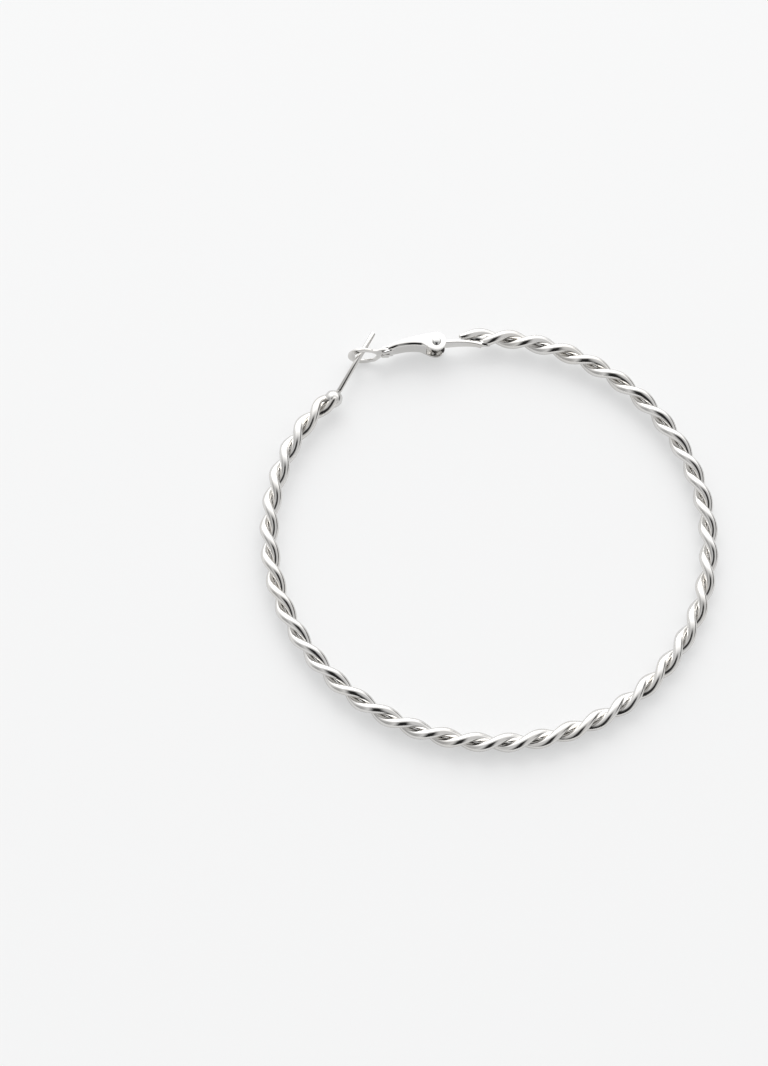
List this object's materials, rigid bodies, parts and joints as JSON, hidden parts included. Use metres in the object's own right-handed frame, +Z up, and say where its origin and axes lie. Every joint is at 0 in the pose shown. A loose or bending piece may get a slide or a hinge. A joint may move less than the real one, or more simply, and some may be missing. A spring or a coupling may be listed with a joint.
{
  "type": "hoop earring",
  "caption": "Twisted-wire hoop earring, polished silver, with an ear post and a hinged clip lever whose loop snaps over the post",
  "frame": {"origin": "Under the centre of the hoop, on the surface that the closed earring lies on", "axes": "+Z up, out of the hoop's plane; +X to the right and +Y away, with the hoop's opening and its clasp at the upper left seen from above"},
  "size_m": [0.0698, 0.0697, 0.0046],
  "materials": {
    "polished_silver": "mirror-polished silver plate with hairline wear",
    "rivet_silver": "polished, slightly duller than the sheet round it"
  },
  "bodies": {
    "hoop": {"twisted_hoop": "polished_silver", "hinge_rivet": "rivet_silver"},
    "lever": {"clasp_lever": "polished_silver"}
  },
  "joints": [
    {"name": "clasp_hinge", "type": "hinge", "parent": "hoop", "child": "lever", "pos_m": [-0.00724, 0.03205, 0.00227], "axis": [-0.0058, 0.0094, -0.9999], "range_deg": [0, 90]}
  ]
}
